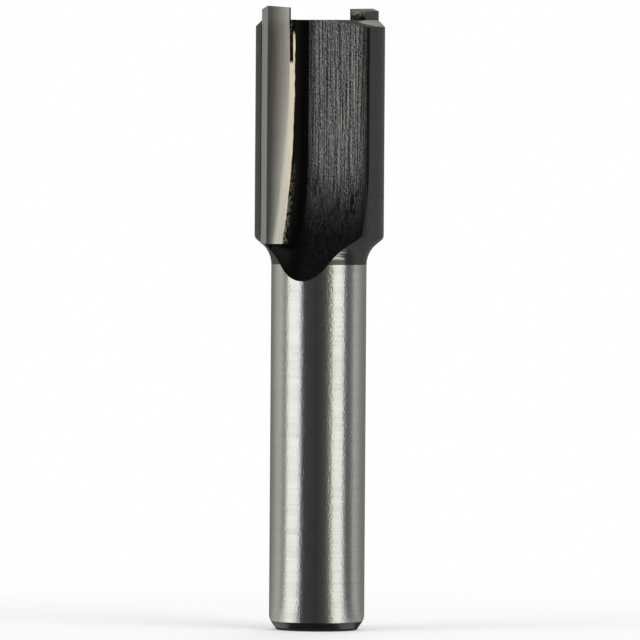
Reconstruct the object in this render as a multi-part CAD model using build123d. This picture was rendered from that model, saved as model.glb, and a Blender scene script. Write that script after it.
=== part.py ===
from build123d import *
import math
import os

os.makedirs("parts", exist_ok=True)

# A two-flute straight router bit, standing on the flat end of its shank.
# Lengths are in mm and angles in degrees. +Z runs up the axis to the cutting end,
# and the two cutting edges lie on the X axis.

# ---- sizes that the whole tool shares ----
overall_length = 52.2
cutting_diameter = 12.0
shank_diameter = 8.0
head_diameter = 10.84

# ---- turned blank ----
shank_end_flat_diameter = 6.74
shank_end_chamfer_height = 0.9
shank_end_round = 1.1
neck_cove_below_tip = 1.72
neck_slope = 50.6
neck_cove_per_step = 1.56
neck_shoulder_per_step = 0.4
tip_stand_out = 1.1
head_end_chamfer = 0.53

# ---- carbide tip ----
rake_angle = 4.8
tip_length = 19.85
tip_width = 3.0
tip_thickness = 1.62
edge_relief_angle = 32.6
end_relief_angle = 8.0
end_dish_angle = 1.7
tip_inner_bevel_width = 0.25
tip_inner_bevel_depth = 0.14
tip_heel_rise = 13.7
tip_heel_radius = 104.0

# Each rise is the height above the tips' lower ends at which a cutter starts to lift out.

# ---- grinding of the rake face, which runs out on the inner half of the tip ----
face_grind_allowance = 0.17
face_grind_rise = 21.0
face_grind_radius = 100.0
face_grind_ramp = 8.0

# ---- brazed joint ----
braze_seat_gap = 0.06
braze_face_from_floor = 0.62
braze_fillet_reach = 0.9

# ---- milled flute, whose side wall is also the seat of the tip ----
flute_floor_from_edge = 3.975
flute_floor_angle = 109.0
flute_corner_round = 0.4
flute_lip_break = 0.14
flute_lip_break_turn = 36.0
flute_rise = 6.55
flute_cutter_radius = 20.0

# ---- clearance ground on the end of the head, behind each tip ----
heel_behind_tip = 0.57
heel_turn = 29.0
heel_slope = 15.8

# ---- places that follow from the sizes above ----
shank_radius = shank_diameter / 2
head_radius = head_diameter / 2
cutting_radius = cutting_diameter / 2
head_end = overall_length - tip_stand_out
tip_bottom = overall_length - tip_length
neck_step = head_radius - shank_radius
neck_cove_radius = neck_cove_per_step * neck_step
neck_shoulder_round = neck_shoulder_per_step * neck_step
rake_offset = -cutting_radius * math.sin(math.radians(rake_angle))
edge_x = cutting_radius * math.cos(math.radians(rake_angle))
tip_inner_x = edge_x - tip_width
tip_back_y = rake_offset - tip_thickness
reach = cutting_radius + 3.0


def direction(angle, length=1.0):
    """Point at an angle from +X, at a distance from the origin."""
    return Vector(length * math.cos(math.radians(angle)), length * math.sin(math.radians(angle)))


crossing = Vector(edge_x - flute_floor_from_edge, rake_offset)
floor_normal = direction(flute_floor_angle - 90)
behind_rake = (tip_thickness + braze_seat_gap) / math.sin(math.radians(flute_floor_angle))
seat_corner = crossing - direction(flute_floor_angle, behind_rake)


def outline(points, rounds):
    """Closed flat face through the points, with the named corners rounded."""
    face = make_face(Polyline(*points, close=True))
    for place, radius in rounds:
        corner = face.vertices().sort_by_distance(place)[0]
        face = fillet(corner, radius)
    return face


def milled(section, rise, deepest_x, cutter_radius):
    """Path of a disc cutter: straight above the start, then lifting out along its own rim."""
    start = tip_bottom + rise
    lifted = Pos(0, 0, start) * section
    straight = extrude(lifted, overall_length)
    cutter_axis = Axis((deepest_x + cutter_radius, 0, start), (0, -1, 0))
    return straight + revolve(lifted, cutter_axis, 90)


def both_sides(shape):
    """The shape turned to the rake angle, and its twin half a turn round the axis."""
    turned = Rot(0, 0, rake_angle) * shape
    return [turned, Rot(0, 0, 180) * turned]


def turned_blank():
    """Shank, coved neck and head, turned as one round bar."""
    cove_start = tip_bottom - neck_cove_below_tip
    neck_low = cove_start + neck_cove_radius * math.tan(math.radians(neck_slope / 2))
    neck_high = neck_low + neck_step / math.tan(math.radians(neck_slope))
    points = [
        (0, 0),
        (shank_end_flat_diameter / 2, 0),
        (shank_radius, shank_end_chamfer_height),
        (shank_radius, neck_low),
        (head_radius, neck_high),
        (head_radius, head_end - head_end_chamfer),
        (head_radius - head_end_chamfer, head_end),
        (0, head_end),
    ]
    rounds = [
        ((shank_radius, shank_end_chamfer_height), shank_end_round),
        ((shank_radius, neck_low), neck_cove_radius),
        ((head_radius, neck_high), neck_shoulder_round),
    ]
    return revolve(Plane.XZ * outline(points, rounds), Axis.Z)


def floor_point(along):
    """Point on the flute floor's line, at a distance from where it crosses the rake plane."""
    return crossing + direction(flute_floor_angle, along)


def flute():
    """The gullet: a flat wall that seats the tip, and a floor that leans away to a broken lip."""
    from_axis = crossing.X * floor_normal.X + crossing.Y * floor_normal.Y
    nearest = crossing.X * floor_normal.Y - crossing.Y * floor_normal.X
    lip = floor_point(nearest + math.sqrt(head_radius**2 - from_axis**2) - flute_lip_break)
    break_end = lip + direction(flute_floor_angle + flute_lip_break_turn, reach)
    points = [seat_corner, (reach, seat_corner.Y), (reach, break_end.Y), break_end, lip]
    section = outline(points, [(seat_corner, flute_corner_round)])
    return milled(section, flute_rise, crossing.X, flute_cutter_radius)


def heel_clearance():
    """Everything above the sloping plane ground behind the tip."""
    above = Box(4 * reach, 2 * reach, reach, align=(Align.CENTER, Align.MAX, Align.MIN))
    hinge = Pos(0, tip_back_y - heel_behind_tip, head_end) * Rot(0, 0, -heel_turn)
    return hinge * Rot(heel_slope, 0, 0) * above


def tip_blank():
    """Tip as pressed and sintered, with its inner edge curved to follow the flute floor."""
    front_y = rake_offset + face_grind_allowance
    bevel_end = Vector(tip_inner_x + tip_inner_bevel_width, rake_offset)
    bevel_start = Vector(tip_inner_x, rake_offset - tip_inner_bevel_depth)
    points = [
        (tip_inner_x, tip_back_y),
        (reach, tip_back_y),
        (reach, front_y),
        (bevel_end.X, front_y),
        bevel_end,
        bevel_start,
    ]
    return milled(outline(points, []), tip_heel_rise, tip_inner_x, tip_heel_radius)


def edge_relief():
    """Prism that ends at the relief plane behind the cutting edge."""
    back = direction(-90 - edge_relief_angle, reach)
    edge = Vector(edge_x, rake_offset)
    points = [edge + back, edge - back, (-reach, reach), (-reach, -reach)]
    prism = extrude(outline(points, []), tip_length)
    return Pos(0, 0, tip_bottom) * prism


def end_relief():
    """Everything above the end cutting edge, which falls inwards and backwards."""
    above = Pos(edge_x, rake_offset, overall_length) * Rot(end_relief_angle, -end_dish_angle, 0)
    return above * Box(4 * reach, 4 * reach, reach, align=(Align.CENTER, Align.CENTER, Align.MIN))


def face_grind():
    """Path of the wheel on the rake face, which ramps up off the inner side of the tip."""
    start = Vector(tip_inner_x, rake_offset)
    ramp_end = start + direction(180 - face_grind_ramp, reach)
    points = [start, (reach, rake_offset), (reach, ramp_end.Y), ramp_end]
    return milled(outline(points, []), face_grind_rise, tip_inner_x, face_grind_radius)


def tip():
    """Carbide tip ground in place: rake face, edge relief and end relief."""
    ground = (tip_blank() & edge_relief()) - end_relief()
    return ground - face_grind()


def braze(tip_solid, blank):
    """Braze between the seat and the tip, ground level beside it, then hollowed down to the floor."""
    fillet_end = floor_point(braze_fillet_reach)
    face_end = crossing + Vector(braze_face_from_floor, 0)
    walls = Polyline(fillet_end, seat_corner, (reach, seat_corner.Y), (reach, rake_offset), face_end)
    hollow = TangentArc(fillet_end, face_end, tangent=direction(flute_floor_angle + 180))
    square = make_face([walls, hollow])
    section = fillet(square.vertices().sort_by_distance(seat_corner)[0], flute_corner_round)
    joint = milled(section, flute_rise, crossing.X, flute_cutter_radius)
    height = Box(4 * reach, 4 * reach, head_end - tip_bottom, align=(Align.CENTER, Align.CENTER, Align.MIN))
    return (joint & Pos(0, 0, tip_bottom) * height & blank & edge_relief()) - tip_solid


blank = turned_blank()
flute_void = flute()
tip_solid = tip()
braze_solid = braze(tip_solid, blank)

body = blank
for cut in [flute_void, heel_clearance()]:
    for copy in both_sides(cut):
        body = body - copy

export_step(body, "parts/body.step")
for side, shape in zip("ab", both_sides(tip_solid)):
    export_step(shape, f"parts/tip_{side}.step")
for side, shape in zip("ab", both_sides(braze_solid)):
    export_step(shape, f"parts/braze_{side}.step")
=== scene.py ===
# %% [markdown]
# # A straight router bit with two brazed carbide tips
# The tool is one piece of steel with a bright ground shank and a black head. Two flutes are milled into
# the head, and a carbide tip is brazed against the side wall of each. The solids come from the packed
# CAD model. This file gives them their finishes, adds the marks that machining leaves, and lights them
# in a studio.

# %% Load the solids
import math

import bmesh
import bpy
from mathutils import Matrix, Vector


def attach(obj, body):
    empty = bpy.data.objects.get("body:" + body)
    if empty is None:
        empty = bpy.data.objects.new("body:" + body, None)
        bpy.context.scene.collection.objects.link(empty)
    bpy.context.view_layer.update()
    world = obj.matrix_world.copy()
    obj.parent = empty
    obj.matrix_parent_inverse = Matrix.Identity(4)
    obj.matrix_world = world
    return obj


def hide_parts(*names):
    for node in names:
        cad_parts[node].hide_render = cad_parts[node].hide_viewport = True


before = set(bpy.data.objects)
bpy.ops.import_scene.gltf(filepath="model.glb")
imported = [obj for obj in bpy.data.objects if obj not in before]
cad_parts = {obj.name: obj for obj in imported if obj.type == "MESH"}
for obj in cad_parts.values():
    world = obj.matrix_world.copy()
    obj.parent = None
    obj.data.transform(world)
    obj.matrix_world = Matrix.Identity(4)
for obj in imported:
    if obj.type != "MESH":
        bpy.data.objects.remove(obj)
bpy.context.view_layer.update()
MM = 0.001
print("solids:", sorted(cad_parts))

# %% [markdown]
# ## Colours and nodes
# Colours are written as the hex values that a screen shows, and one function turns them linear. One
# function adds a node to a shader or a geometry tree, sets it and feeds it values and other nodes. Each
# material starts as an empty tree that reads the object's own coordinates, in metres.

# %% Colours and nodes


def linear(hex_colour):
    """Screen colour such as #c8c8c6 as the linear RGBA that a shader socket wants."""
    channels = [int(hex_colour[i : i + 2], 16) / 255 for i in (1, 3, 5)]
    return tuple(c / 12.92 if c < 0.04045 else ((c + 0.055) / 1.055) ** 2.4 for c in channels) + (1.0,)


def add(tree, kind, feeds=None, **settings):
    """Adds a node with its settings. Each feed is a value, or the node or socket that is linked in."""
    node = tree.nodes.new(kind)
    for name, value in settings.items():
        setattr(node, name, value)
    for socket, feed in (feeds or {}).items():
        if isinstance(feed, bpy.types.Node):
            feed = feed.outputs[0]
        if isinstance(feed, bpy.types.NodeSocket):
            tree.links.new(feed, node.inputs[socket])
        else:
            node.inputs[socket].default_value = feed
    return node


def blank_material(name):
    """A new material, its emptied tree, and the socket with the object's own coordinates."""
    material = bpy.data.materials.new(name)
    material.use_nodes = True
    material.node_tree.nodes.clear()
    place = add(material.node_tree, "ShaderNodeTexCoord")
    return material, material.node_tree, place.outputs["Object"]


print("middle grey on screen is linear", round(linear("#808080")[0], 3))

# %% [markdown]
# The two tips are the same tip, half a turn apart. Stains and ground patches lie at the same place on
# both, so they are measured along a tip's own axes: outwards from the tool's axis, forwards to the flute
# that the tip looks into, and up. The rake face is a plane in that frame.

# %% Frame of a tip
RAKE_TURN = math.radians(4.8)
RAKE_Y = -0.502 * MM


def tip_frame(tree, place):
    """Distances along a tip's own axes, alike for both tips: outwards, forwards and up."""
    turned = add(
        tree, "ShaderNodeVectorRotate", {"Vector": place, "Angle": -RAKE_TURN}, rotation_type="Z_AXIS",
    )
    part = add(tree, "ShaderNodeSeparateXYZ", {0: turned})
    side = add(tree, "ShaderNodeMath", {0: part.outputs["X"]}, operation="SIGN")
    outward = add(tree, "ShaderNodeMath", {0: part.outputs["X"]}, operation="ABSOLUTE")
    forward = add(tree, "ShaderNodeMath", {0: part.outputs["Y"], 1: side}, operation="MULTIPLY")
    return outward, forward, part.outputs["Z"]


print("rake face turned by", round(math.degrees(RAKE_TURN), 1), "degrees")

# %% [markdown]
# ## Camera
# A long lens stands well back, a little higher than the middle of the tool, so the sides stay almost
# parallel. It is rolled by a fraction of a degree, because the tool leans slightly in the frame.

# %% Camera
VIEW_TURN = math.radians(-42.9)
CAMERA_DISTANCE = 650 * MM
CAMERA_HEIGHT = 37 * MM
AIM = Vector((0, 0, 25.97 * MM))
AIM_RIGHT = 0.12 * MM
ROLL = math.radians(0.385)
LENS, SENSOR = 436, 36

right = Vector((math.cos(VIEW_TURN), math.sin(VIEW_TURN), 0))
towards = Vector((math.sin(VIEW_TURN), -math.cos(VIEW_TURN), 0))
camera_data = bpy.data.cameras.new("camera")
camera_data.sensor_width = SENSOR
camera_data.lens = LENS
camera_data.clip_start, camera_data.clip_end = 0.01, 5
camera = bpy.data.objects.new("camera", camera_data)
bpy.context.scene.collection.objects.link(camera)
bpy.context.scene.camera = camera
stand = towards * CAMERA_DISTANCE + Vector((0, 0, CAMERA_HEIGHT)) + right * AIM_RIGHT
camera.location = stand
look = (AIM + right * AIM_RIGHT - stand).to_track_quat("-Z", "Y").to_matrix()
camera.rotation_euler = (look @ Matrix.Rotation(ROLL, 3, "Z")).to_euler()
print("camera at", [round(c, 3) for c in stand])

# %% [markdown]
# ## Studio
# The backdrop is white and the floor is pale and keeps the tool's shadow. Polished metal shows what
# stands round it more than its own colour. So a tent of cards stands round the tool: two tall white
# cards, one on each side, a dark card in front and grey ones behind. Only reflections see the tent.

# %% World
scene = bpy.context.scene
scene.view_settings.view_transform = "Standard"
world = bpy.data.worlds.new("studio")
scene.world = world
world.use_nodes = True
tree = world.node_tree
tree.nodes.clear()
path = add(tree, "ShaderNodeLightPath")
seen = add(
    tree, "ShaderNodeMath", {0: path.outputs["Is Camera Ray"], 1: path.outputs["Is Glossy Ray"]},
    operation="MAXIMUM",
)
seen = add(tree, "ShaderNodeMath", {0: seen, 1: path.outputs["Is Transmission Ray"]}, operation="MAXIMUM")
fill = add(tree, "ShaderNodeBackground", {"Color": (0.5, 0.5, 0.5, 1), "Strength": 1.0})
white = add(tree, "ShaderNodeBackground", {"Color": (1, 1, 1, 1), "Strength": 1.0})
mix = add(tree, "ShaderNodeMixShader", {0: seen, 1: fill, 2: white})
add(tree, "ShaderNodeOutputWorld", {"Surface": mix})
print("view transform:", scene.view_settings.view_transform)

# %% [markdown]
# A white floor in even light still renders as a light grey. Close to the tool that is wanted, because it
# carries the shadow. So a little glow lifts it there, and further out it melts into the white backdrop.
# Both act on the camera's own rays only, so the tool is not lit by them.

# %% Floor
FLOOR_RADIUS = 1.4
FLOOR_LIFT = 0.24
MELT_FROM, MELT_TO = 20 * MM, 90 * MM

floor_mesh = bpy.data.meshes.new("floor")
bm = bmesh.new()
bmesh.ops.create_circle(bm, cap_ends=True, segments=96, radius=FLOOR_RADIUS)
bm.to_mesh(floor_mesh)
bm.free()
floor = bpy.data.objects.new("floor", floor_mesh)
scene.collection.objects.link(floor)
floor_paint, tree, place = blank_material("matt_white_floor")
path = add(tree, "ShaderNodeLightPath")
run = add(tree, "ShaderNodeVectorMath", {0: place}, operation="LENGTH")
far = add(
    tree, "ShaderNodeMapRange", {"Value": run.outputs["Value"], "From Min": MELT_FROM, "From Max": MELT_TO},
    interpolation_type="SMOOTHSTEP",
)
far = add(tree, "ShaderNodeMath", {0: far, 1: path.outputs["Is Camera Ray"]}, operation="MULTIPLY")
matt = add(tree, "ShaderNodeBsdfDiffuse", {"Color": (0.8, 0.8, 0.8, 1)})
lift = add(tree, "ShaderNodeMath", {0: path.outputs["Is Camera Ray"], 1: FLOOR_LIFT}, operation="MULTIPLY")
near_glow = add(tree, "ShaderNodeEmission", {"Color": (1, 1, 1, 1), "Strength": lift})
near = add(tree, "ShaderNodeAddShader", {0: matt, 1: near_glow})
backdrop = add(tree, "ShaderNodeEmission", {"Color": (1, 1, 1, 1), "Strength": 1.0})
melt = add(tree, "ShaderNodeMixShader", {0: far, 1: near, 2: backdrop})
add(tree, "ShaderNodeOutputMaterial", {"Surface": melt})
floor_mesh.materials.append(floor_paint)
print("floor:", FLOOR_RADIUS, "m in radius")

# %% [markdown]
# In a real studio each card is a sheet of its own. Here one drum stands for them all, and a list says what
# glows where: the direction in degrees from the camera, right positive, how bright it is there, and how
# warm (above zero) or cool (below) its colour is. The drum blends from one entry to the next, as soft
# cards do, so an edge of a reflection on the shank can be moved by one number.

# %% Reflection tent
TENT_RADIUS = 450 * MM
TENT_HEIGHT = 450 * MM
TENT_CLEARANCE = 0.2 * MM
CARD_STRENGTH = 2.0
CARD_LOW, CARD_TOP, CARD_TOP_STRENGTH = 0.13, 0.44, 0.08
CARD_BEHIND = 300 * MM
WARMTH_BLUE = 0.16
CARDS = (
    (-180, 0.22, 0.3), (-152, 0.22, 0.3), (-137, 0.34, 0.3), (-125, 0.49, 0.3), (-107, 0.68, 0.3),
    (-99, 0.62, 0.35), (-91, 0.38, 0.5), (-85, 0.40, 0.9), (-77, 1.60, 0.5), (-46, 1.60, -0.3),
    (-40, 0.09, -0.5), (0, 0.062, 0.0), (9, 0.08, 0.0), (22, 0.13, 0.5), (31, 0.34, 1.3),
    (36, 1.55, 0.7), (56, 1.55, 0.0), (61, 1.50, -0.3), (67, 0.22, -0.8), (78, 0.17, -0.2),
    (88, 0.26, 0.2), (97, 0.66, 0.3), (108, 0.56, 0.2), (122, 0.36, 0.2), (142, 0.26, 0.3),
    (180, 0.22, 0.3),
)

tent_mesh = bpy.data.meshes.new("tent")
bm = bmesh.new()
bmesh.ops.create_cone(
    bm, cap_ends=True, segments=96, radius1=TENT_RADIUS, radius2=TENT_RADIUS, depth=TENT_HEIGHT,
)
bmesh.ops.translate(bm, vec=(0, 0, TENT_HEIGHT / 2 + TENT_CLEARANCE), verts=bm.verts)
bmesh.ops.reverse_faces(bm, faces=bm.faces)
bm.to_mesh(tent_mesh)
bm.free()
tent = bpy.data.objects.new("tent", tent_mesh)
scene.collection.objects.link(tent)
tent.visible_camera = tent.visible_diffuse = tent.visible_shadow = tent.visible_transmission = False
print("tent:", len(tent_mesh.polygons), "faces,", len(CARDS), "cards")

# %% [markdown]
# The direction round the axis picks the glow from a colour ramp with one stop for each entry. An image
# could do the same, but a ramp has no pixels that would show in a mirror.

# %% Glow of the cards
cards, tree, place = blank_material("studio_cards")
turned = add(tree, "ShaderNodeVectorRotate", {"Vector": place, "Angle": -VIEW_TURN}, rotation_type="Z_AXIS")
part = add(tree, "ShaderNodeSeparateXYZ", {0: turned})
away = add(tree, "ShaderNodeMath", {0: part.outputs["Y"], 1: -1.0}, operation="MULTIPLY")
angle = add(tree, "ShaderNodeMath", {0: part.outputs["X"], 1: away}, operation="ARCTAN2")
turn = add(tree, "ShaderNodeMapRange", {"Value": angle, "From Min": -math.pi, "From Max": math.pi})
ramp = add(tree, "ShaderNodeValToRGB", {0: turn})
stops = ramp.color_ramp.elements
while len(stops) > 1:
    stops.remove(stops[-1])
for index, (degrees, level, warmth) in enumerate(CARDS):
    stop = stops[0] if index == 0 else stops.new((degrees + 180) / 360)
    stop.position = (degrees + 180) / 360
    shown = level / CARD_STRENGTH
    stop.color = (shown, shown, shown * (1 - WARMTH_BLUE * warmth), 1)
# Each side card is dimmer towards its top, and the grey cards behind the tool are evenly bright.
flat = add(tree, "ShaderNodeVectorMath", {0: place, 1: (1, 1, 0)}, operation="MULTIPLY")
run = add(tree, "ShaderNodeVectorMath", {0: flat}, operation="LENGTH")
rise = add(tree, "ShaderNodeMath", {0: part.outputs["Z"], 1: run.outputs["Value"]}, operation="DIVIDE")
low = add(
    tree, "ShaderNodeMapRange",
    {
        "Value": rise, "From Min": CARD_LOW, "From Max": CARD_TOP, "To Min": CARD_STRENGTH,
        "To Max": CARD_TOP_STRENGTH,
    },
    interpolation_type="SMOOTHSTEP",
)
behind = add(
    tree, "ShaderNodeMapRange", {"Value": part.outputs["Y"], "From Min": 0.0, "From Max": CARD_BEHIND},
    interpolation_type="SMOOTHSTEP",
)
strength = add(tree, "ShaderNodeMix", {"Factor": behind, 2: low, 3: CARD_STRENGTH})
glow = add(tree, "ShaderNodeEmission", {"Color": ramp, "Strength": strength})
add(tree, "ShaderNodeOutputMaterial", {"Surface": glow})
tent_mesh.materials.append(cards)
print("card stops:", len(stops))

# %% [markdown]
# Three large soft lamps light what is not a mirror: the floor, the braze and the lacquer. The cards could
# light them too, but then a card could not be changed without the shadow. Reflections don't see the
# lamps, because the cards already stand for the studio there.

# %% Soft lamps
LAMP_AWAY, LAMP_UP, LAMP_TALL = 420 * MM, 190 * MM, 320 * MM
LAMP_AIM = Vector((0, 0, 25 * MM))
LAMPS = (("left_lamp", -62, 0.30, 2.6), ("right_lamp", 50, 0.34, 3.0), ("back_lamp", 170, 0.25, 2.6))
for name, degrees, width, level in LAMPS:
    data = bpy.data.lights.new(name, "AREA")
    data.shape = "RECTANGLE"
    data.size, data.size_y = width, LAMP_TALL
    data.energy = level * math.pi * data.size * data.size_y
    lamp = bpy.data.objects.new(name, data)
    heading = math.radians(degrees)
    sideways = (towards * math.cos(heading) + right * math.sin(heading)) * LAMP_AWAY
    lamp.location = sideways + Vector((0, 0, LAMP_UP))
    lamp.rotation_euler = (LAMP_AIM - lamp.location).to_track_quat("-Z", "Y").to_euler()
    lamp.visible_glossy = False
    scene.collection.objects.link(lamp)
print("lamps:", [lamp[0] for lamp in LAMPS])

# %% [markdown]
# ## Ground shank
# The shank is hardened steel ground between wheels to fit a collet. The wheel leaves fine rings round
# it, so a reflection smears up and down the shank but stays crisp across it. The rings are far finer
# than a pixel, so the smear is set as anisotropy and only a few coarser rings are drawn.

# %% Ground steel
# Rings about 0.12 mm apart: the pattern hardly changes round the shank and changes fast along it.
RING_SCALE = (90, 90, 8300)
RUB_SCALE = (260, 260, 900)
GRAIN_SCALE = 6000.0
DARKER_FROM, DARKER_TO = 25 * MM, 10 * MM

steel, tree, place = blank_material("centreless_ground_steel")
ring_at = add(tree, "ShaderNodeMapping", {"Vector": place, "Scale": RING_SCALE})
rings = add(tree, "ShaderNodeTexNoise", {"Vector": ring_at, "Scale": 1.0, "Detail": 3.0, "Roughness": 0.6})
rub_at = add(tree, "ShaderNodeMapping", {"Vector": place, "Scale": RUB_SCALE})
rub = add(tree, "ShaderNodeTexNoise", {"Vector": rub_at, "Scale": 1.0, "Detail": 2.0})
tone = add(
    tree, "ShaderNodeMix", {"Factor": rings, 6: linear("#bdbcb8"), 7: linear("#cfcfcc")}, data_type="RGBA",
)
# The shank's colour is made a little darker towards its lower end.
height = add(tree, "ShaderNodeSeparateXYZ", {0: place})
darker_low = add(
    tree, "ShaderNodeMapRange",
    {"Value": height.outputs["Z"], "From Min": DARKER_FROM, "From Max": DARKER_TO, "To Max": 0.08},
)
tone = add(
    tree, "ShaderNodeMix", {"Factor": darker_low, 6: tone.outputs[2], 7: linear("#12120f")}, data_type="RGBA",
)
gloss = add(
    tree, "ShaderNodeMapRange",
    {"Value": rub, "From Min": 0.3, "From Max": 0.7, "To Min": 0.17, "To Max": 0.27},
)
# Scratches of single grains break the rings up, and the edges of a reflection look frayed. They are
# drawn about 0.17 mm across, coarser than the real ones, so that they show at all.
grains = add(tree, "ShaderNodeTexNoise", {"Vector": place, "Scale": GRAIN_SCALE, "Detail": 2.0})
relief = add(tree, "ShaderNodeBump", {"Strength": 0.55, "Distance": 0.025 * MM, "Height": grains})
relief = add(
    tree, "ShaderNodeBump", {"Strength": 0.25, "Distance": 0.01 * MM, "Height": rings, "Normal": relief},
)
round_it = add(tree, "ShaderNodeTangent", direction_type="RADIAL", axis="Z")
skin = add(
    tree, "ShaderNodeBsdfPrincipled",
    {
        "Metallic": 1.0, "Anisotropic": 0.8, "Anisotropic Rotation": 0.25, "Base Color": tone.outputs[2],
        "Roughness": gloss, "Normal": relief, "Tangent": round_it,
    },
)
add(tree, "ShaderNodeOutputMaterial", {"Surface": skin})
print(steel.name, len(tree.nodes), "nodes")

# %% [markdown]
# ## Black head
# The head, the neck and the flutes are dipped in a black lacquer after brazing, and the carbide and the
# shank are ground clean again. Lacquer is a thin glossy film, so it is dark face on and brightens at the
# silhouette.

# %% Black lacquer
# The lathe's turning marks, about 0.4 mm apart, show faintly through the film.
TURNING_SCALE = (150, 150, 2500)
DULL_BELOW = 0.8 * MM

lacquer, tree, place = blank_material("black_dipped_lacquer")
outward, forward, up = tip_frame(tree, place)
turning_at = add(tree, "ShaderNodeMapping", {"Vector": place, "Scale": TURNING_SCALE})
turning = add(tree, "ShaderNodeTexNoise", {"Vector": turning_at, "Scale": 1.0, "Detail": 2.0})
gloss = add(
    tree, "ShaderNodeMapRange",
    {"Value": turning, "From Min": 0.3, "From Max": 0.7, "To Min": 0.2, "To Max": 0.32},
)
relief = add(tree, "ShaderNodeBump", {"Strength": 0.08, "Distance": 0.01 * MM, "Height": turning})
# The chamfer of the shank is dipped too, but its film is dull.
foot = add(
    tree, "ShaderNodeMapRange", {"Value": up, "From Min": DULL_BELOW + 0.08 * MM, "From Max": DULL_BELOW},
)
dull = add(tree, "ShaderNodeMath", {0: foot, 1: 0.65}, operation="MULTIPLY")
gloss = add(tree, "ShaderNodeMath", {0: gloss, 1: dull}, operation="MAXIMUM")
print("turning marks", round(1 / TURNING_SCALE[2] / MM, 2), "mm apart")

# %% [markdown]
# Behind each tip the chamfer of the head's end faces up to the lights, and its reflection there is painted
# as a grey patch, a painted highlight. The patch could be a piece of mesh, but its border is soft and
# patchy, so it is a mask: a box in the tip's frame, and the turning marks fray its inner border.

# %% Painted highlight on the chamfer
SHEEN_ABOVE = 50.5 * MM
SHEEN_FROM, SHEEN_TO = 0.5 * MM, 3.6 * MM
SHEEN_BEHIND = -3.6 * MM

high = add(
    tree, "ShaderNodeMapRange",
    {"Value": up, "From Min": SHEEN_ABOVE, "From Max": SHEEN_ABOVE + 0.1 * MM},
)
near = add(tree, "ShaderNodeMath", {0: outward, 1: SHEEN_TO}, operation="LESS_THAN")
behind = add(tree, "ShaderNodeMath", {0: forward, 1: SHEEN_BEHIND}, operation="LESS_THAN")
frayed = add(tree, "ShaderNodeMath", {0: turning, 1: 0.5}, operation="SUBTRACT")
frayed = add(tree, "ShaderNodeMath", {0: frayed, 1: 1.2 * MM, 2: outward}, operation="MULTIPLY_ADD")
frayed = add(
    tree, "ShaderNodeMapRange",
    {"Value": frayed, "From Min": SHEEN_FROM, "From Max": SHEEN_FROM + 0.3 * MM},
)
sheen_patches = add(tree, "ShaderNodeMapRange", {"Value": turning, "From Min": 0.3, "From Max": 0.6, "To Min": 0.6})
chamfer_sheen = sheen_patches
for bound in (high, near, behind, frayed):
    chamfer_sheen = add(tree, "ShaderNodeMath", {0: chamfer_sheen, 1: bound}, operation="MULTIPLY")
# The grey patch is a painted highlight: the chamfer's reflection of the lights above.
tone = add(
    tree, "ShaderNodeMix", {"Factor": chamfer_sheen, 6: linear("#161615"), 7: linear("#a5a39c")}, data_type="RGBA",
)
print("rubbed above", round(SHEEN_ABOVE / MM, 1), "mm")

# %% [markdown]
# Beside the runout of each flute a spot of the neck is scraped down to the turned steel. A painted image
# could draw it, but a second, finer noise along the lathe's marks gives the streaks and stays sharp at
# any distance. Below the spot only a grey shadow of the scrape is left.

# %% Scraped neck
SCRAPE_SCALE = (400, 400, 3600)
SCRAPE_RAGGED = 0.5 * MM
SCRAPE_FROM, SCRAPE_FORWARD = 1.05 * MM, 3.2 * MM
SCRAPE_LOW, SCRAPE_HIGH = 31.05 * MM, 31.8 * MM
HEAD_ABOVE = 20 * MM

scrape_at = add(tree, "ShaderNodeMapping", {"Vector": place, "Scale": SCRAPE_SCALE})
scrape = add(tree, "ShaderNodeTexNoise", {"Vector": scrape_at, "Scale": 1.0, "Detail": 2.0})
ragged = add(tree, "ShaderNodeMath", {0: scrape, 1: 0.5}, operation="SUBTRACT")
ragged = add(tree, "ShaderNodeMath", {0: ragged, 1: SCRAPE_RAGGED}, operation="MULTIPLY")
ragged_out = add(tree, "ShaderNodeMath", {0: outward, 1: ragged}, operation="ADD")
ragged_up = add(tree, "ShaderNodeMath", {0: up, 1: ragged}, operation="ADD")
beside = add(
    tree, "ShaderNodeMapRange",
    {"Value": ragged_out, "From Min": SCRAPE_FROM, "From Max": SCRAPE_FROM + 0.15 * MM},
)
facing = add(tree, "ShaderNodeMath", {0: forward, 1: SCRAPE_FORWARD}, operation="GREATER_THAN")
on_head = add(tree, "ShaderNodeMath", {0: up, 1: HEAD_ABOVE}, operation="GREATER_THAN")
high = add(
    tree, "ShaderNodeMapRange",
    {"Value": ragged_up, "From Min": SCRAPE_HIGH + 0.2 * MM, "From Max": SCRAPE_HIGH},
)
low = add(
    tree, "ShaderNodeMapRange",
    {"Value": ragged_up, "From Min": SCRAPE_LOW, "From Max": SCRAPE_LOW + 0.15 * MM, "To Min": 0.1},
)
scraped = beside
for bound in (facing, on_head, high, low):
    scraped = add(tree, "ShaderNodeMath", {0: scraped, 1: bound}, operation="MULTIPLY")
bright = add(tree, "ShaderNodeMapRange", {"Value": scrape, "From Min": 0.38, "From Max": 0.52})
bright = add(
    tree, "ShaderNodeMix", {"Factor": bright, 6: linear("#4c4c4b"), 7: linear("#b6b6b4")}, data_type="RGBA",
)
tone = add(
    tree, "ShaderNodeMix", {"Factor": scraped, 6: tone.outputs[2], 7: bright.outputs[2]}, data_type="RGBA",
)
skin = add(
    tree, "ShaderNodeBsdfPrincipled",
    {"IOR": 1.52, "Base Color": tone.outputs[2], "Metallic": scraped, "Roughness": gloss, "Normal": relief},
)
add(tree, "ShaderNodeOutputMaterial", {"Surface": skin})
print(lacquer.name, len(tree.nodes), "nodes")

# %% [markdown]
# ## Milled flutes
# Milling leaves streaks along the flute, torn across into short crumbs, with a deeper score here and
# there. The same lacquer fills them and is rubbed off their crests, so crests are grey steel and
# valleys are black. One noise could not be long and crumbly at once, so each mark has its own.

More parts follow.
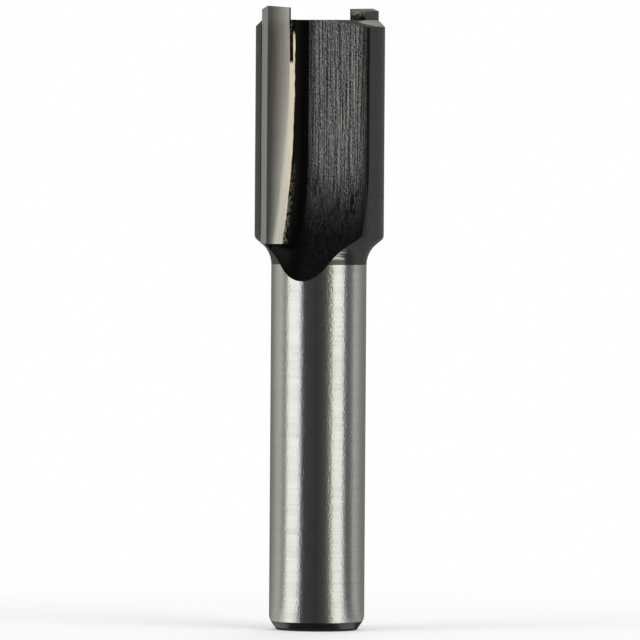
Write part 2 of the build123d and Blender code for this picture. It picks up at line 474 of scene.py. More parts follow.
# %% Tool marks
# Streaks about 0.12 mm apart and many millimetres long, crumbs of 0.2 mm, and scores 0.2 mm wide.
STREAK_SCALE = (8500, 8500, 110)
CRUMB_SCALE = (8000, 8000, 5200)
SCORE_SCALE = (5200, 5200, 40)

milled, tree, place = blank_material("lacquered_milled_steel")
outward, forward, up = tip_frame(tree, place)
streak_at = add(tree, "ShaderNodeMapping", {"Vector": place, "Scale": STREAK_SCALE})
streaks = add(
    tree, "ShaderNodeTexNoise", {"Vector": streak_at, "Scale": 1.0, "Detail": 2.0, "Roughness": 0.6},
)
crumb_at = add(tree, "ShaderNodeMapping", {"Vector": place, "Scale": CRUMB_SCALE})
crumbs = add(
    tree, "ShaderNodeTexNoise", {"Vector": crumb_at, "Scale": 1.0, "Detail": 2.0, "Roughness": 0.6},
)
score_at = add(tree, "ShaderNodeMapping", {"Vector": place, "Scale": SCORE_SCALE})
scores = add(tree, "ShaderNodeTexNoise", {"Vector": score_at, "Scale": 1.0, "Detail": 1.0})
scores = add(
    tree, "ShaderNodeMapRange", {"Value": scores, "From Min": 0.38, "From Max": 0.3, "To Max": 0.35},
)
marks = add(tree, "ShaderNodeMath", {0: crumbs, 1: 0.5}, operation="SUBTRACT")
marks = add(tree, "ShaderNodeMath", {0: marks, 1: 0.8, 2: streaks}, operation="MULTIPLY_ADD")
marks = add(tree, "ShaderNodeMath", {0: marks, 1: scores}, operation="SUBTRACT")
crests = add(tree, "ShaderNodeMapRange", {"Value": marks, "From Min": 0.3, "From Max": 0.72})
tone = add(
    tree, "ShaderNodeMix", {"Factor": crests, 6: linear("#333332"), 7: linear("#908f8c")}, data_type="RGBA",
)
print("streaks", round(1 / STREAK_SCALE[0] / MM, 2), "mm apart")

# %% [markdown]
# The floor is painted darker where the flute lies in shade: in the corner beside the tip, along the lip,
# and low down where the cutter runs out. This painted shade is laid on as a thicker, less metallic film
# of lacquer. It could be painted by hand, but it follows the flute, so it is worked out from the distance
# across the floor, which starts at the corner, and from the height. The streaks make each border ragged.

# %% Painted shade in the flute
FLOOR_CORNER_X = 2.004 * MM
FLOOR_ANGLE = math.radians(109.0)
CORNER_FROM, CORNER_TO = 0.6 * MM, 1.5 * MM
LIP_FROM, LIP_TO = 5.35 * MM, 5.85 * MM
RUNOUT_FROM, RUNOUT_TO = 37.2 * MM, 40.2 * MM
TONGUE_FROM, TONGUE_TO = 33.0 * MM, 36.5 * MM

across_x = add(tree, "ShaderNodeMath", {0: outward, 1: FLOOR_CORNER_X}, operation="SUBTRACT")
across_x = add(tree, "ShaderNodeMath", {0: across_x, 1: math.cos(FLOOR_ANGLE)}, operation="MULTIPLY")
across_y = add(tree, "ShaderNodeMath", {0: forward, 1: RAKE_Y}, operation="SUBTRACT")
across = add(
    tree, "ShaderNodeMath", {0: across_y, 1: math.sin(FLOOR_ANGLE), 2: across_x}, operation="MULTIPLY_ADD",
)
ragged = add(tree, "ShaderNodeMath", {0: across, 1: 0.25 * MM}, operation="SUBTRACT")
ragged = add(tree, "ShaderNodeMath", {0: streaks, 1: 0.5 * MM, 2: ragged}, operation="MULTIPLY_ADD")
from_corner = add(
    tree, "ShaderNodeMapRange", {"Value": ragged, "From Min": CORNER_FROM, "From Max": CORNER_TO},
)
from_lip = add(
    tree, "ShaderNodeMapRange", {"Value": ragged, "From Min": LIP_TO, "From Max": LIP_FROM, "To Min": 0.3},
)
from_runout = add(
    tree, "ShaderNodeMapRange",
    {"Value": up, "From Min": RUNOUT_FROM, "From Max": RUNOUT_TO, "To Min": 0.6},
)
from_tongue = add(
    tree, "ShaderNodeMapRange",
    {"Value": up, "From Min": TONGUE_FROM, "From Max": TONGUE_TO, "To Min": 0.15},
)
# Painted shade: the floor darkens in the corner, along the lip and towards the runout.
unshaded = from_corner
for share in (from_lip, from_runout, from_tongue):
    unshaded = add(tree, "ShaderNodeMath", {0: unshaded, 1: share}, operation="MULTIPLY")
shaded_film = add(
    tree, "ShaderNodeMix", {"Factor": unshaded, 6: linear("#121211"), 7: tone.outputs[2]}, data_type="RGBA",
)
metal = add(tree, "ShaderNodeMapRange", {"Value": unshaded, "From Max": 0.5, "To Min": 0.72})
skin = add(
    tree, "ShaderNodeBsdfPrincipled", {"Roughness": 0.3, "Base Color": shaded_film.outputs[2], "Metallic": metal},
)
add(tree, "ShaderNodeOutputMaterial", {"Surface": skin})
print(milled.name, len(tree.nodes), "nodes")

# %% [markdown]
# ## Three finishes on one body
# The steel body is one solid. Its triangles are copied in three parts, one for each finish, which keep
# the solid's own normals: the ground shank, the milled flutes, and the lacquered rest of the head with
# the shank's chamfer. Masks in one material could part them too, but the finishes share nothing. The
# direction of a face tells which tool made it: a turned face looks straight out from the axis, and a
# milled one doesn't.

# %% Parts of the body
SHANK_LOW, SHANK_HIGH = 0.7 * MM, 30.62 * MM
NECK_LOW = 28 * MM
END_CHAMFER_LOW = 50.5 * MM
ROUNDED_END = 3 * MM
STRAIGHT_OUT = 0.985
END_FACING = 0.7


def zone(centre, normal):
    """Which part of the body a face belongs to: the shank, the milled flutes or the rest of the head."""
    outwards = Vector((centre.x, centre.y, 0)).normalized()
    sideways = Vector((normal.x, normal.y, 0))
    straight = outwards.dot(sideways.normalized()) > STRAIGHT_OUT
    turned = straight and (normal.z < 0.02 or centre.z < NECK_LOW)
    end_chamfer = centre.z > END_CHAMFER_LOW and normal.z > 0.3
    if not (turned or end_chamfer or sideways.length < END_FACING):
        return "flutes"
    return "shank" if SHANK_LOW < centre.z < SHANK_HIGH else "head"


def part_of_body(name, wanted, material, end_lean=1.0):
    """Copies the body's triangles of one zone with their normals, which lean less at the shank's end."""
    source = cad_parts["body"].data
    points, faces, normals = [], [], []
    for polygon in source.polygons:
        if zone(polygon.center, polygon.normal) != wanted:
            continue
        faces.append(list(range(len(points), len(points) + len(polygon.vertices))))
        for loop in polygon.loop_indices:
            points.append(source.vertices[source.loops[loop].vertex_index].co)
            normal = source.corner_normals[loop].vector.copy()
            normal.z *= end_lean if points[-1].z < ROUNDED_END else 1.0
            normals.append(normal.normalized())
    mesh = bpy.data.meshes.new(name)
    mesh.from_pydata(points, [], faces)
    mesh.polygons.foreach_set("use_smooth", [True] * len(mesh.polygons))
    mesh.normals_split_custom_set(normals)
    mesh.materials.append(material)
    piece = bpy.data.objects.new(name, mesh)
    scene.collection.objects.link(piece)
    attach(piece, "root")
    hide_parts("body")
    print(name, len(faces), "triangles")


# The wheel grinds the shank's rounded end along with the rest, so its reflections run nearly straight.
part_of_body("ground_shank", "shank", steel, end_lean=0.0)
part_of_body("black_head", "head", lacquer)
part_of_body("milled_flutes", "flutes", milled)

# %% [markdown]
# ## Ridges on the flute floor
# The disc cutter leaves rows of irregular ridges along its travel. They run down the floor and fade
# where the cutter lifts out of the steel. They could be a bump in the material, but the light rakes
# over them, so they are real here. Geometry Nodes lay a fine grid over the floor along the cutter's
# own path, and noise that is long down the flute and narrow across it raises the ridges.

# %% Sockets of the tree
FLOATS = (
    "Corner x", "Rake y", "Floor angle", "First across", "Last across", "Lowest", "Head end",
    "Heel start y", "Heel turn", "Heel slope", "Lift from", "Cutter radius", "Clearance",
    "Ridge height", "Ridge pitch", "Ridge run", "Chatter share", "Seed", "Turn",
)
GRID_ACROSS, GRID_UP = 240, 380

flute_tree = bpy.data.node_groups.new("milled_flute_floor", "GeometryNodeTree")
flute_tree.interface.new_socket("Geometry", in_out="OUTPUT", socket_type="NodeSocketGeometry")
for label in FLOATS:
    flute_tree.interface.new_socket(label, in_out="INPUT", socket_type="NodeSocketFloat")
flute_tree.interface.new_socket("Finish", in_out="INPUT", socket_type="NodeSocketMaterial")
print("inputs:", len(FLOATS) + 1)

# %% [markdown]
# Each point of the grid has two shares, across the floor and up it. The shares become a place on the
# flat floor, and the top of the grid follows the plane that is ground behind the other tip.

# %% Flat floor
tree = flute_tree
given = add(tree, "NodeGroupInput").outputs
grid = add(
    tree, "GeometryNodeMeshGrid",
    {"Size X": 1.0, "Size Y": 1.0, "Vertices X": GRID_ACROSS, "Vertices Y": GRID_UP},
)
where = add(tree, "GeometryNodeInputPosition")
where = add(tree, "ShaderNodeSeparateXYZ", {0: where})
share_across = add(tree, "ShaderNodeMath", {0: where.outputs["X"], 1: 0.5}, operation="ADD")
share_up = add(tree, "ShaderNodeMath", {0: where.outputs["Y"], 1: 0.5}, operation="ADD")
span = add(
    tree, "ShaderNodeMath", {0: given["Last across"], 1: given["First across"]}, operation="SUBTRACT",
)
across = add(
    tree, "ShaderNodeMath", {0: share_across, 1: span, 2: given["First across"]}, operation="MULTIPLY_ADD",
)
cosine = add(tree, "ShaderNodeMath", {0: given["Floor angle"]}, operation="COSINE")
sine = add(tree, "ShaderNodeMath", {0: given["Floor angle"]}, operation="SINE")
flat_x = add(tree, "ShaderNodeMath", {0: across, 1: cosine, 2: given["Corner x"]}, operation="MULTIPLY_ADD")
flat_y = add(tree, "ShaderNodeMath", {0: across, 1: sine, 2: given["Rake y"]}, operation="MULTIPLY_ADD")
# Height lost to the sloping plane, which starts at a line and falls away from it.
heel_sine = add(tree, "ShaderNodeMath", {0: given["Heel turn"]}, operation="SINE")
heel_cosine = add(tree, "ShaderNodeMath", {0: given["Heel turn"]}, operation="COSINE")
heel_x = add(tree, "ShaderNodeMath", {0: flat_x, 1: heel_sine}, operation="MULTIPLY")
heel_y = add(tree, "ShaderNodeMath", {0: flat_y, 1: given["Heel start y"]}, operation="SUBTRACT")
past = add(tree, "ShaderNodeMath", {0: heel_y, 1: heel_cosine, 2: heel_x}, operation="MULTIPLY_ADD")
past = add(tree, "ShaderNodeMath", {0: past, 1: 0.0}, operation="MAXIMUM")
fall = add(tree, "ShaderNodeMath", {0: given["Heel slope"]}, operation="TANGENT")
drop = add(tree, "ShaderNodeMath", {0: past, 1: fall}, operation="MULTIPLY")
top = add(tree, "ShaderNodeMath", {0: given["Head end"], 1: drop}, operation="SUBTRACT")
height = add(tree, "ShaderNodeMath", {0: top, 1: given["Lowest"]}, operation="SUBTRACT")
z = add(tree, "ShaderNodeMath", {0: share_up, 1: height, 2: given["Lowest"]}, operation="MULTIPLY_ADD")
print("grid:", GRID_ACROSS, "by", GRID_UP, "points")

# %% [markdown]
# Below the height where the cutter starts to lift, the floor follows the cutter's rim, a circle in the
# plane of its travel.

# %% Lift of the cutter
# The cutter's radius is larger towards the lip, because the floor leans away from its corner.
lean = add(tree, "ShaderNodeMath", {0: given["Corner x"], 1: flat_x}, operation="SUBTRACT")
radius = add(tree, "ShaderNodeMath", {0: given["Cutter radius"], 1: lean}, operation="ADD")
below = add(tree, "ShaderNodeMath", {0: given["Lift from"], 1: z}, operation="SUBTRACT")
below = add(tree, "ShaderNodeMath", {0: below, 1: 0.0}, operation="MAXIMUM")
radius_squared = add(tree, "ShaderNodeMath", {0: radius, 1: radius}, operation="MULTIPLY")
below_squared = add(tree, "ShaderNodeMath", {0: below, 1: below}, operation="MULTIPLY")
rim = add(tree, "ShaderNodeMath", {0: radius_squared, 1: below_squared}, operation="SUBTRACT")
rim = add(tree, "ShaderNodeMath", {0: rim}, operation="SQRT")
lift = add(tree, "ShaderNodeMath", {0: radius, 1: rim}, operation="SUBTRACT")
lifted_x = add(tree, "ShaderNodeMath", {0: flat_x, 1: lift}, operation="ADD")
print("nodes so far:", len(tree.nodes))

# %% [markdown]
# The ridges are long along the flute and narrow across it, with short chatter marks inside them. They
# fade at the corner, at the lip and towards the runout.

# %% Ridges
pitches = add(tree, "ShaderNodeMath", {0: across, 1: given["Ridge pitch"]}, operation="DIVIDE")
runs = add(tree, "ShaderNodeMath", {0: z, 1: given["Ridge run"]}, operation="DIVIDE")
coarse_at = add(tree, "ShaderNodeCombineXYZ", {0: pitches, 1: runs, 2: given["Seed"]})
coarse = add(
    tree, "ShaderNodeTexNoise",
    {"Vector": coarse_at, "Scale": 1.0, "Detail": 2.0, "Roughness": 0.55, "Distortion": 0.25},
)
coarse = add(tree, "ShaderNodeMath", {0: coarse, 1: 0.35}, operation="SUBTRACT")
fine_at = add(tree, "ShaderNodeVectorMath", {0: coarse_at, 1: (1.4, 30.0, 1.0)}, operation="MULTIPLY")
fine = add(tree, "ShaderNodeTexNoise", {"Vector": fine_at, "Scale": 1.0, "Detail": 2.0, "Roughness": 0.6})
fine = add(tree, "ShaderNodeMath", {0: fine, 1: 0.5}, operation="SUBTRACT")
ridge = add(
    tree, "ShaderNodeMath", {0: fine, 1: given["Chatter share"], 2: coarse}, operation="MULTIPLY_ADD",
)
for share, start, full in ((share_across, 0.0, 0.05), (share_across, 1.0, 0.96), (share_up, 0.02, 0.28)):
    fade = add(
        tree, "ShaderNodeMapRange", {"Value": share, "From Min": start, "From Max": full},
        interpolation_type="SMOOTHSTEP",
    )
    ridge = add(tree, "ShaderNodeMath", {0: ridge, 1: fade}, operation="MULTIPLY")
raised = add(
    tree, "ShaderNodeMath", {0: ridge, 1: given["Ridge height"], 2: given["Clearance"]},
    operation="MULTIPLY_ADD",
)
final_x = add(tree, "ShaderNodeMath", {0: raised, 1: sine, 2: lifted_x}, operation="MULTIPLY_ADD")
final_y = add(tree, "ShaderNodeMath", {0: raised, 1: cosine}, operation="MULTIPLY")
final_y = add(tree, "ShaderNodeMath", {0: flat_y, 1: final_y}, operation="SUBTRACT")
print("nodes so far:", len(tree.nodes))

# %% [markdown]
# The points take their places, and the grid is turned to its own flute. Smooth shading rounds the
# ridges, which are about eight cells of the grid wide.

# %% Output of the tree
final_at = add(tree, "ShaderNodeCombineXYZ", {0: final_x, 1: final_y, 2: z})
spun = add(
    tree, "ShaderNodeVectorRotate", {"Vector": final_at, "Angle": given["Turn"]}, rotation_type="Z_AXIS",
)
moved = add(tree, "GeometryNodeSetPosition", {"Geometry": grid, "Position": spun})
smooth = add(tree, "GeometryNodeSetShadeSmooth", {"Geometry": moved})
real = add(tree, "GeometryNodeRealizeInstances", {"Geometry": smooth})
coated = add(tree, "GeometryNodeSetMaterial", {"Geometry": real, "Material": given["Finish"]})
add(tree, "NodeGroupOutput", {0: coated})
print("flute tree:", len(tree.nodes), "nodes")

# %% [markdown]
# The tree is run once for each flute, on an empty mesh, and what it makes becomes a plain mesh. The
# sizes are the flute's own: the corner, the floor's angle, the cutter's radius and the ground plane
# behind the tips. The ridges are 0.17 mm apart and up to 0.05 mm high, and the grid lies 0.014 mm clear
# of the steel.

# %% Two flute floors
FLUTE_SIZES = {
    "Corner x": FLOOR_CORNER_X,
    "Rake y": RAKE_Y,
    "Floor angle": FLOOR_ANGLE,
    "First across": 0.86 * MM,
    "Last across": 6.11 * MM,
    "Lowest": 33.2 * MM,
    "Head end": 51.08 * MM,
    "Heel start y": 2.69 * MM,
    "Heel turn": math.radians(29.0),
    "Heel slope": math.radians(15.8),
    "Lift from": 38.9 * MM,
    "Cutter radius": 20.0 * MM,
    "Clearance": 0.014 * MM,
    "Ridge height": 0.05 * MM,
    "Ridge pitch": 0.17 * MM,
    "Ridge run": 6.0 * MM,
    "Chatter share": 0.9,
    "Finish": milled,
}


def grow(tree, name, sizes):
    """Runs a geometry tree with the named sizes and keeps the result as a plain mesh object."""
    piece = bpy.data.objects.new(name, bpy.data.meshes.new(name + "_seed"))
    scene.collection.objects.link(piece)
    modifier = piece.modifiers.new("grow", "NODES")
    modifier.node_group = tree
    for item in tree.interface.items_tree:
        if item.in_out == "INPUT":
            modifier[item.identifier] = sizes[item.name]
    evaluated = piece.evaluated_get(bpy.context.evaluated_depsgraph_get())
    mesh = bpy.data.meshes.new_from_object(evaluated)
    piece.modifiers.remove(modifier)
    piece.data = mesh
    print(name, len(mesh.polygons), "faces")
    return piece


for side, seed, half_turn in (("a", 3.0, 0.0), ("b", 11.0, math.pi)):
    own = {"Seed": seed, "Turn": RAKE_TURN + half_turn}
    skin_piece = grow(flute_tree, "flute_floor_" + side, {**FLUTE_SIZES, **own})
    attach(skin_piece, "root")

# %% [markdown]
# ## Carbide tips
# Tungsten carbide is a hard grey metal. A diamond wheel grinds its faces flat and leaves fine lines along
# each tip, which spread a reflection across it. The rake face is darkest near the cutting edge, where a
# thin honed line is a little lighter, and it is made lighter and less metallic towards its inner side.
# Where the wheel runs out along its arc, the face ramps up and is paler still.

# %% Rake face
# Grinding lines about 0.17 mm apart, which run along the tip.
LINE_SCALE = (6000, 6000, 250)
EDGE_AT = 5.95 * MM
WHEEL_START, WHEEL_INNER, WHEEL_RADIUS = 53.35 * MM, 2.979 * MM, 100 * MM
LIGHTER_FROM, LIGHTER_TO = 34 * MM, 38 * MM
HONED_FROM, HONED_TO = 0.35 * MM, 0.1 * MM

carbide, tree, place = blank_material("diamond_ground_carbide")
outward, forward, up = tip_frame(tree, place)
line_at = add(tree, "ShaderNodeMapping", {"Vector": place, "Scale": LINE_SCALE})
lines = add(tree, "ShaderNodeTexNoise", {"Vector": line_at, "Scale": 1.0, "Detail": 3.0})
below = add(tree, "ShaderNodeMath", {0: WHEEL_START, 1: up}, operation="SUBTRACT")
below_squared = add(tree, "ShaderNodeMath", {0: below, 1: below}, operation="MULTIPLY")
arc = add(
    tree, "ShaderNodeMath", {0: below_squared, 1: 1 / (2 * WHEEL_RADIUS), 2: WHEEL_INNER},
    operation="MULTIPLY_ADD",
)
from_edge = add(tree, "ShaderNodeMath", {0: EDGE_AT, 1: outward}, operation="SUBTRACT")
arc_from_edge = add(tree, "ShaderNodeMath", {0: EDGE_AT, 1: arc}, operation="SUBTRACT")
lighter_inward = add(tree, "ShaderNodeMath", {0: from_edge, 1: arc_from_edge}, operation="DIVIDE", use_clamp=True)
fade_low = add(
    tree, "ShaderNodeMapRange", {"Value": up, "From Min": LIGHTER_FROM, "From Max": LIGHTER_TO, "To Min": 0.82},
)
lighter_inward = add(tree, "ShaderNodeMath", {0: lighter_inward, 1: fade_low}, operation="MULTIPLY")
honed = add(
    tree, "ShaderNodeMapRange",
    {"Value": from_edge, "From Min": HONED_FROM, "From Max": HONED_TO, "To Max": 0.12},
)
lighter_inward = add(tree, "ShaderNodeMath", {0: lighter_inward, 1: honed}, operation="ADD")
grain = add(tree, "ShaderNodeMath", {0: lines, 1: 0.5}, operation="SUBTRACT")
grained = add(
    tree, "ShaderNodeMath", {0: grain, 1: 0.25, 2: lighter_inward}, operation="MULTIPLY_ADD", use_clamp=True,
)
# The rake face's colour grows lighter towards its inner side.
rake_tone = add(
    tree, "ShaderNodeMix", {"Factor": grained, 6: linear("#5c5b58"), 7: linear("#cdc9bd")},
    data_type="RGBA",
)
past_arc = add(tree, "ShaderNodeMath", {0: arc, 1: outward}, operation="SUBTRACT")
ramped = add(tree, "ShaderNodeMapRange", {"Value": past_arc, "From Min": -0.05 * MM, "From Max": 0.3 * MM})
rake_tone = add(
    tree, "ShaderNodeMix", {"Factor": ramped, 6: rake_tone.outputs[2], 7: linear("#eee8d8")},
    data_type="RGBA",
)
print("rake face ground with a wheel of", round(WHEEL_RADIUS / MM), "mm in radius")

# %% [markdown]
# Lacquer and braze stain the inner end of each tip and the bevel beside it, which are dark partly as
# painted shade. The stain is crazed like dried paint, with thin painted glints along its cracks. The back
# of a tip, where it sits against the steel, is smeared grey.

# %% Stained ends with painted glints
CRACK_SCALE = (1500, 1500, 2200)
CRACK_WIDE, CRACK_THIN = 0.022, 0.01
BACK_AT = -2.1 * MM
STAIN_LOW, STAIN_HIGH = 48 * MM, 51 * MM
STAIN_TO_LOW, STAIN_TO_HIGH = 3.22 * MM, 3.35 * MM
CORNER_LOW, CORNER_HIGH, CORNER_BEHIND = 51.35 * MM, 51.9 * MM, -0.75 * MM

crack_at = add(tree, "ShaderNodeMapping", {"Vector": place, "Scale": CRACK_SCALE})
crack = add(
    tree, "ShaderNodeTexNoise", {"Vector": crack_at, "Scale": 1.0, "Detail": 2.0, "Distortion": 1.5},
)
from_crack = add(tree, "ShaderNodeMath", {0: crack, 1: 0.5}, operation="SUBTRACT")
from_crack = add(tree, "ShaderNodeMath", {0: from_crack}, operation="ABSOLUTE")
glint = add(
    tree, "ShaderNodeMapRange", {"Value": from_crack, "From Min": CRACK_WIDE, "From Max": CRACK_THIN},
)
# The upper corner of the end is painted lighter, a painted highlight, and the glints are stronger there.
corner = add(tree, "ShaderNodeMapRange", {"Value": up, "From Min": CORNER_LOW, "From Max": CORNER_HIGH})
corner_behind = add(tree, "ShaderNodeMath", {0: forward, 1: CORNER_BEHIND}, operation="LESS_THAN")
corner = add(tree, "ShaderNodeMath", {0: corner, 1: corner_behind}, operation="MULTIPLY")
corner_highlight = add(tree, "ShaderNodeMath", {0: corner, 1: 0.45}, operation="MULTIPLY")
glint = add(tree, "ShaderNodeMath", {0: glint, 1: corner_highlight}, operation="MAXIMUM")
glint_share = add(tree, "ShaderNodeMath", {0: corner, 1: 0.35}, operation="ADD", use_clamp=True)
glint = add(tree, "ShaderNodeMath", {0: glint, 1: glint_share}, operation="MULTIPLY")
# The bright part is painted glints along the cracks. The dark part is stain, and painted shade on the
# bevel.
stain_and_glints = add(
    tree, "ShaderNodeMix", {"Factor": glint, 6: linear("#0c0c0c"), 7: linear("#b9b7ae")}, data_type="RGBA",
)
smear = add(
    tree, "ShaderNodeMix", {"Factor": crack, 6: linear("#434341"), 7: linear("#737370")}, data_type="RGBA",
)
back = add(
    tree, "ShaderNodeMapRange", {"Value": forward, "From Min": BACK_AT, "From Max": BACK_AT - 0.02 * MM},
)
stained_to = add(
    tree, "ShaderNodeMapRange",
    {
        "Value": up, "From Min": STAIN_LOW, "From Max": STAIN_HIGH, "To Min": STAIN_TO_LOW,
        "To Max": STAIN_TO_HIGH,
    },
)
within = add(tree, "ShaderNodeMath", {0: stained_to, 1: outward}, operation="SUBTRACT")
inner_end = add(tree, "ShaderNodeMapRange", {"Value": within, "From Min": 0.0, "From Max": 0.04 * MM})
print("stain ends", round(STAIN_TO_LOW / MM, 2), "to", round(STAIN_TO_HIGH / MM, 2), "mm from the axis")

# %% [markdown]
# The looks are laid over each other: plain ground flanks, the rake face, lighter towards its inner side,
# the smeared back, and the stain with its painted glints on top. A mesh for each face would do too, but
# its seams could show at the sharp edges.

# %% Finish of the tips
rake = add(
    tree, "ShaderNodeMapRange",
    {"Value": forward, "From Min": RAKE_Y - 0.04 * MM, "From Max": RAKE_Y - 0.01 * MM},
)
tone = linear("#c6c6c3")
for share, layer in ((rake, rake_tone), (back, smear), (inner_end, stain_and_glints)):
    mix = add(tree, "ShaderNodeMix", {"Factor": share, 6: tone, 7: layer.outputs[2]}, data_type="RGBA")
    tone = mix.outputs[2]
rake_lighter = add(tree, "ShaderNodeMath", {0: rake, 1: lighter_inward}, operation="MULTIPLY")
metal = add(tree, "ShaderNodeMapRange", {"Value": rake_lighter, "To Min": 0.95, "To Max": 0.4})
gloss = add(
    tree, "ShaderNodeMapRange",
    {"Value": lines, "From Min": 0.3, "From Max": 0.7, "To Min": 0.28, "To Max": 0.4},
)
relief = add(tree, "ShaderNodeBump", {"Strength": 0.3, "Distance": 0.01 * MM, "Height": lines})
skin = add(
    tree, "ShaderNodeBsdfPrincipled",
    {"Base Color": tone, "Metallic": metal, "Roughness": gloss, "Normal": relief},
)
add(tree, "ShaderNodeOutputMaterial", {"Surface": skin})
for node in ("tip_a", "tip_b"):
    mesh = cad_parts[node].data
    mesh.materials.clear()
    mesh.materials.append(carbide)
print(carbide.name, len(tree.nodes), "nodes")

# %% [markdown]
# ## Braze
# Silver braze fills the gap behind each tip and the corner of the flute beside it. The wheel that grinds
# the rake face also cleans a strip of it, which shows as a thin pale gold line down the inner edge of
# the tip. The border of the strip curves outwards further down. All of it is one material, because
# what parts clean braze from rough is where the wheel passed.

# %% Clean strip
BLOT_SCALE = (2500, 2500, 900)
BORDER_WANDER = 0.25 * MM
BORDER_AT, BORDER_BENDS_BELOW, BORDER_RADIUS = 2.62 * MM, 45.0 * MM, 56 * MM
STRIP_TOP, STRIP_TOP_SLOPE = 49.1 * MM, 0.25

braze, tree, place = blank_material("ground_silver_braze")
outward, forward, up = tip_frame(tree, place)
blot_at = add(tree, "ShaderNodeMapping", {"Vector": place, "Scale": BLOT_SCALE})
blots = add(tree, "ShaderNodeTexNoise", {"Vector": blot_at, "Scale": 1.0, "Detail": 3.0})
wander = add(tree, "ShaderNodeMath", {0: blots, 1: 0.5}, operation="SUBTRACT")
wander = add(tree, "ShaderNodeMath", {0: wander, 1: BORDER_WANDER}, operation="MULTIPLY")
wandered = add(tree, "ShaderNodeMath", {0: outward, 1: wander}, operation="ADD")
below = add(tree, "ShaderNodeMath", {0: BORDER_BENDS_BELOW, 1: up}, operation="SUBTRACT")
below = add(tree, "ShaderNodeMath", {0: below, 1: 0.0}, operation="MAXIMUM")
below_squared = add(tree, "ShaderNodeMath", {0: below, 1: below}, operation="MULTIPLY")
border = add(
    tree, "ShaderNodeMath", {0: below_squared, 1: 1 / (2 * BORDER_RADIUS), 2: BORDER_AT},
    operation="MULTIPLY_ADD",
)
past_border = add(tree, "ShaderNodeMath", {0: wandered, 1: border}, operation="SUBTRACT")
clean = add(
    tree, "ShaderNodeMapRange", {"Value": past_border, "From Min": -0.03 * MM, "From Max": 0.03 * MM},
)
face = add(
    tree, "ShaderNodeMapRange",
    {"Value": forward, "From Min": RAKE_Y - 0.25 * MM, "From Max": RAKE_Y - 0.2 * MM},
)
sloped_up = add(tree, "ShaderNodeMath", {0: outward, 1: -STRIP_TOP_SLOPE, 2: up}, operation="MULTIPLY_ADD")
point = add(
    tree, "ShaderNodeMapRange",
    {"Value": sloped_up, "From Min": STRIP_TOP + 0.4 * MM, "From Max": STRIP_TOP},
)
gold = add(
    tree, "ShaderNodeMix", {"Factor": blots, 6: linear("#efdcb2"), 7: linear("#fff4da")}, data_type="RGBA",
)
print("strip starts", round(BORDER_AT / MM, 2), "mm from the axis")

# %% [markdown]
# Beside the strip the braze stays rough and brown low down, and further in it is lacquered black. Near
# the head's end the wheel missed it, and the groove along the tip's bevel is full of burnt flux.

# %% Rough braze and groove
BEAD_SCALE = 3600.0
ROUGH_REACH = 0.6 * MM
ROUGH_TOP, ROUGH_FULL = 39.5 * MM, 36 * MM
GROOVE_AT, GROOVE_ABOVE = 2.8 * MM, 47.4 * MM
ASH_FROM, ASH_TO = 49.8 * MM, 50.2 * MM

before_border = add(tree, "ShaderNodeMath", {0: border, 1: wandered}, operation="SUBTRACT")
beside = add(
    tree, "ShaderNodeMapRange", {"Value": before_border, "From Min": ROUGH_REACH, "From Max": 0.25 * MM},
)
rough_low = add(tree, "ShaderNodeMapRange", {"Value": up, "From Min": ROUGH_TOP, "From Max": ROUGH_FULL})
rough_low = add(tree, "ShaderNodeMath", {0: rough_low, 1: beside}, operation="MULTIPLY")
bead_noise = add(tree, "ShaderNodeTexNoise", {"Vector": place, "Scale": BEAD_SCALE, "Detail": 1.0})
beads = add(tree, "ShaderNodeMapRange", {"Value": bead_noise, "From Min": 0.42, "From Max": 0.66})
beads = add(tree, "ShaderNodeMath", {0: rough_low, 1: beads}, operation="MULTIPLY")
rough = add(
    tree, "ShaderNodeMix", {"Factor": beads, 6: linear("#100f0e"), 7: linear("#a29c90")}, data_type="RGBA",
)
wandered_up = add(tree, "ShaderNodeMath", {0: up, 1: wander}, operation="ADD")
groove_high = add(
    tree, "ShaderNodeMapRange",
    {"Value": wandered_up, "From Min": GROOVE_ABOVE, "From Max": GROOVE_ABOVE + 0.3 * MM},
)
groove = add(
    tree, "ShaderNodeMapRange",
    {"Value": wandered, "From Min": GROOVE_AT, "From Max": GROOVE_AT + 0.08 * MM},
)
groove = add(tree, "ShaderNodeMath", {0: groove, 1: groove_high}, operation="MULTIPLY")
ash = add(tree, "ShaderNodeMapRange", {"Value": up, "From Min": ASH_FROM, "From Max": ASH_TO})
cinder = add(
    tree, "ShaderNodeMix", {"Factor": ash, 6: linear("#3a2214"), 7: linear("#54575a")}, data_type="RGBA",
)
specks = add(tree, "ShaderNodeMapRange", {"Value": bead_noise, "From Min": 0.44, "From Max": 0.56})
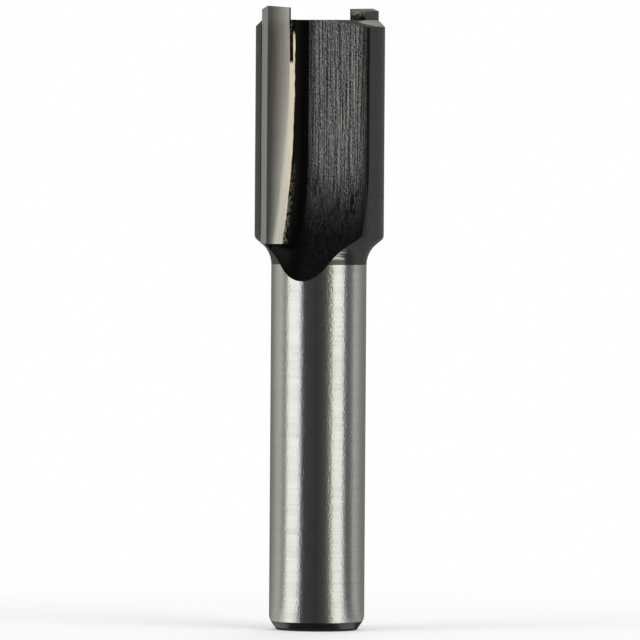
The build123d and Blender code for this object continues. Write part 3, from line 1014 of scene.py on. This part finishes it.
cinder = add(
    tree, "ShaderNodeMix", {"Factor": specks, 6: linear("#120c08"), 7: cinder.outputs[2]}, data_type="RGBA",
)
print("beads about", round(1 / BEAD_SCALE / MM, 2), "mm wide")

# %% [markdown]
# The cinder in the groove lies over the rough braze, and the clean strip over both. At the outer end of
# the seat the joint is ground flush with the steel and looks like it.

# %% Finish of the braze
FLUSH_AT, FLUSH_BEHIND = 4.3 * MM, -1.9 * MM

not_groove = add(tree, "ShaderNodeMath", {0: 1.0, 1: groove}, operation="SUBTRACT")
for bound in (point, not_groove, face):
    clean = add(tree, "ShaderNodeMath", {0: clean, 1: bound}, operation="MULTIPLY")
flush = add(
    tree, "ShaderNodeMapRange", {"Value": outward, "From Min": FLUSH_AT, "From Max": FLUSH_AT + 0.2 * MM},
)
flush_behind = add(tree, "ShaderNodeMath", {0: forward, 1: FLUSH_BEHIND}, operation="LESS_THAN")
flush = add(tree, "ShaderNodeMath", {0: flush, 1: flush_behind}, operation="MULTIPLY")
tone = rough.outputs[2]
for share, layer in ((groove, cinder.outputs[2]), (clean, gold.outputs[2]), (flush, linear("#c4c4c0"))):
    mix = add(tree, "ShaderNodeMix", {"Factor": share, 6: tone, 7: layer}, data_type="RGBA")
    tone = mix.outputs[2]
filmed = add(tree, "ShaderNodeMapRange", {"Value": clean, "To Min": 0.7, "To Max": 0.2})
flush_metal = add(tree, "ShaderNodeMath", {0: flush, 1: 0.9}, operation="MULTIPLY")
metal = add(tree, "ShaderNodeMath", {0: filmed, 1: flush_metal}, operation="MAXIMUM")
gloss = add(tree, "ShaderNodeMapRange", {"Value": clean, "To Min": 0.5, "To Max": 0.45})
skin = add(
    tree, "ShaderNodeBsdfPrincipled",
    {"IOR": 1.3, "Base Color": tone, "Metallic": metal, "Roughness": gloss},
)
add(tree, "ShaderNodeOutputMaterial", {"Surface": skin})
for node in ("braze_a", "braze_b"):
    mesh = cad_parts[node].data
    mesh.materials.clear()
    mesh.materials.append(braze)
print(braze.name, len(tree.nodes), "nodes")
